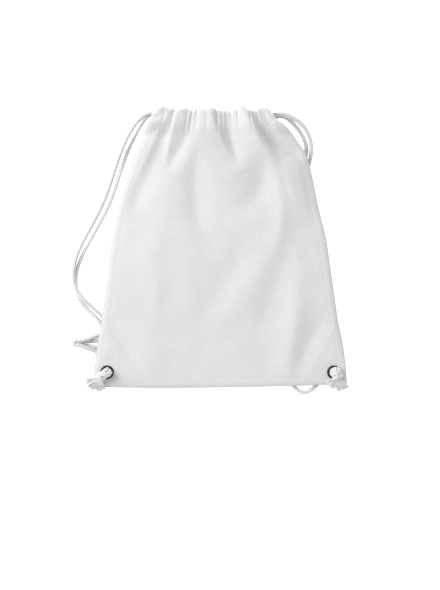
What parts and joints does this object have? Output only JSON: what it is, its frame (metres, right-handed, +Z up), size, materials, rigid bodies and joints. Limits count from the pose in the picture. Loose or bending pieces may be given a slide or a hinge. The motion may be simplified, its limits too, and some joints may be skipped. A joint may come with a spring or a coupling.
{
  "type": "drawstring backpack",
  "caption": "Flat white cotton drawstring bag with a gathered mouth, braided cords through corner eyelets, and knotted frayed ends.",
  "frame": {"origin": "middle of the bag's base rectangle, on the surface that it lies on, cords and knots left out", "axes": "+Y from the bottom hem to the mouth, +Z up out of the front panel, +X to the bag's right as seen from above"},
  "size_m": [0.4113, 0.419, 0.033],
  "materials": {
    "canvas": "plain-weave cotton, matt, white",
    "casing": "plain-weave cotton folded double, matt, white",
    "overlocked_seam": "cotton edge overlocked with white thread",
    "cord": "braided cotton cord, matt, white",
    "frayed_cord": "loose cotton yarn, matt, white",
    "eyelet": "black nickel, satin"
  },
  "bodies": {
    "bag": {"front_panel": "canvas", "back_panel": "canvas", "front_casing": "casing", "back_casing": "casing", "left_seam": "overlocked_seam", "right_seam": "overlocked_seam", "bottom_seam": "overlocked_seam", "left_back_corner_patch": "canvas", "left_front_corner_patch": "canvas", "right_back_corner_patch": "canvas", "right_front_corner_patch": "canvas", "left_eyelet": "eyelet", "right_eyelet": "eyelet", "left_eyelet_washer": "eyelet", "right_eyelet_washer": "eyelet", "left_strand_front": "cord", "left_strand_back": "cord", "right_strand_front": "cord", "right_strand_back": "cord"},
    "left_end": {"left_front_casing_hem": "casing", "left_back_casing_hem": "casing", "right_cord_run": "cord"},
    "right_end": {"right_front_casing_hem": "casing", "right_back_casing_hem": "casing", "left_cord_run": "cord"},
    "left_knot": {"left_knot": "cord", "left_tassel_front": "frayed_cord", "left_tassel_back": "frayed_cord"},
    "right_knot": {"right_knot": "cord", "right_tassel_front": "frayed_cord", "right_tassel_back": "frayed_cord"}
  },
  "joints": [
    {"name": "mouth_left_slide", "type": "slide", "parent": "bag", "child": "left_end", "axis": [1, 0, 0], "range_m": [-0.04, 0.038], "deforming": ["front_panel", "back_panel", "front_casing", "back_casing", "left_seam", "left_strand_front", "left_strand_back", "right_strand_front", "right_strand_back"]},
    {"name": "mouth_right_slide", "type": "slide", "parent": "bag", "child": "right_end", "axis": [-1, 0, 0], "range_m": [-0.04, 0.038], "deforming": ["front_panel", "back_panel", "front_casing", "back_casing", "right_seam", "left_strand_front", "left_strand_back", "right_strand_front", "right_strand_back"]},
    {"name": "left_knot_swivel", "type": "hinge", "parent": "bag", "child": "left_knot", "pos_m": [-0.165, -0.182, 0.022], "axis": [0, 0, 1], "range_deg": [-40, 40]},
    {"name": "right_knot_swivel", "type": "hinge", "parent": "bag", "child": "right_knot", "pos_m": [0.165, -0.182, 0.022], "axis": [0, 0, 1], "range_deg": [-40, 40]}
  ]
}
